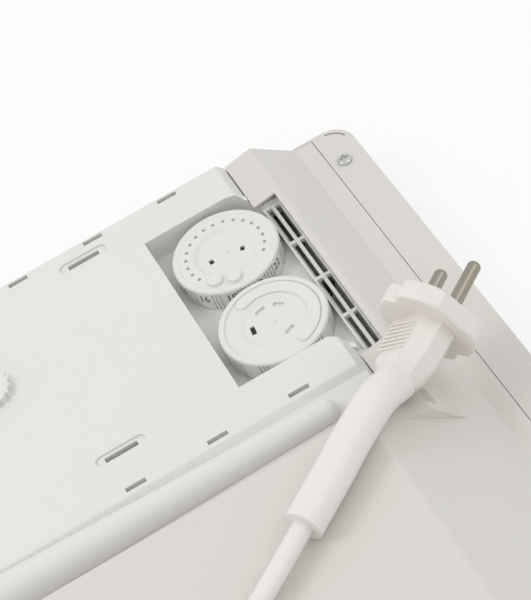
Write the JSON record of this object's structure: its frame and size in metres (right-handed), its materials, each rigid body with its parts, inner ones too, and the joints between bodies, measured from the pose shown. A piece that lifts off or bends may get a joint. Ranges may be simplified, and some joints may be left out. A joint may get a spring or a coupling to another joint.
{
  "type": "electric convector heater",
  "caption": "Slim wall-hung electric panel heater lying on its front, with a two-dial thermostat housing set in its back and a coiled mains lead with a two-pin plug.",
  "frame": {"origin": "centre of the casing's footprint on the plane of its front face", "axes": "+X along the casing, to the right when seen from behind; +Y toward the top edge with the air outlet; +Z out of the back, toward the wall"},
  "size_m": [0.775, 0.4, 0.0728],
  "materials": {
    "white_paint": "smooth powder coat",
    "white_plastic": "fine moulded texture",
    "white_gloss_plastic": "smooth moulded",
    "grey_plastic": "moulded",
    "board": "coated laminate",
    "dark_plastic": "moulded",
    "steel": "bright plated",
    "nickel": "nickel plated",
    "aluminium": "extruded",
    "ceramic": "unglazed",
    "cord_sheath": "smooth flexible sheath",
    "lead_sheath": "silicone sleeve"
  },
  "bodies": {
    "casing": {"front_cover": "white_paint", "back_panel": "white_paint", "left_bracket_catch": "white_paint", "right_bracket_catch": "white_paint", "thermostat_housing": "white_plastic", "adjuster_cap": "white_plastic", "plug_body": "white_gloss_plastic", "thermostat_base": "grey_plastic", "circuit_board": "board", "relay": "dark_plastic", "capacitor": "dark_plastic", "terminal_block": "dark_plastic", "comfort_potentiometer": "dark_plastic", "setback_potentiometer": "dark_plastic", "room_sensor": "dark_plastic", "element_rod": "steel", "cover_screws": "steel", "heat_shield": "steel", "left_element_bracket": "steel", "right_element_bracket": "steel", "thermal_cutout": "steel", "plug_pins": "nickel", "element_fins": "aluminium", "left_element_bush": "ceramic", "right_element_bush": "ceramic", "cord_gland": "cord_sheath", "plug_sleeve": "cord_sheath", "power_cord_lower": "cord_sheath", "power_cord_upper": "cord_sheath", "cord_coil": "cord_sheath", "cord_tie": "cord_sheath", "lead_wires": "lead_sheath"},
    "comfort_dial": {"comfort_dial": "white_plastic", "comfort_shaft": "grey_plastic"},
    "setback_dial": {"setback_dial": "white_plastic", "setback_shaft": "grey_plastic"},
    "lower_limit_peg": {"lower_limit_peg": "white_gloss_plastic"},
    "upper_limit_peg": {"upper_limit_peg": "white_gloss_plastic"}
  },
  "joints": [
    {"name": "comfort_turn", "type": "hinge", "parent": "casing", "child": "comfort_dial", "pos_m": [-0.34485, 0.1317, 0.0335], "axis": [0, 0, 1], "range_deg": [-120, 120]},
    {"name": "setback_turn", "type": "hinge", "parent": "casing", "child": "setback_dial", "pos_m": [-0.30235, 0.1317, 0.0335], "axis": [0, 0, 1], "range_deg": [-120, 120]},
    {"name": "lower_peg_pull", "type": "slide", "parent": "comfort_dial", "child": "lower_limit_peg", "axis": [0, 0, 1], "range_m": [0, 0.004]},
    {"name": "upper_peg_pull", "type": "slide", "parent": "comfort_dial", "child": "upper_limit_peg", "axis": [0, 0, 1], "range_m": [0, 0.004]}
  ]
}
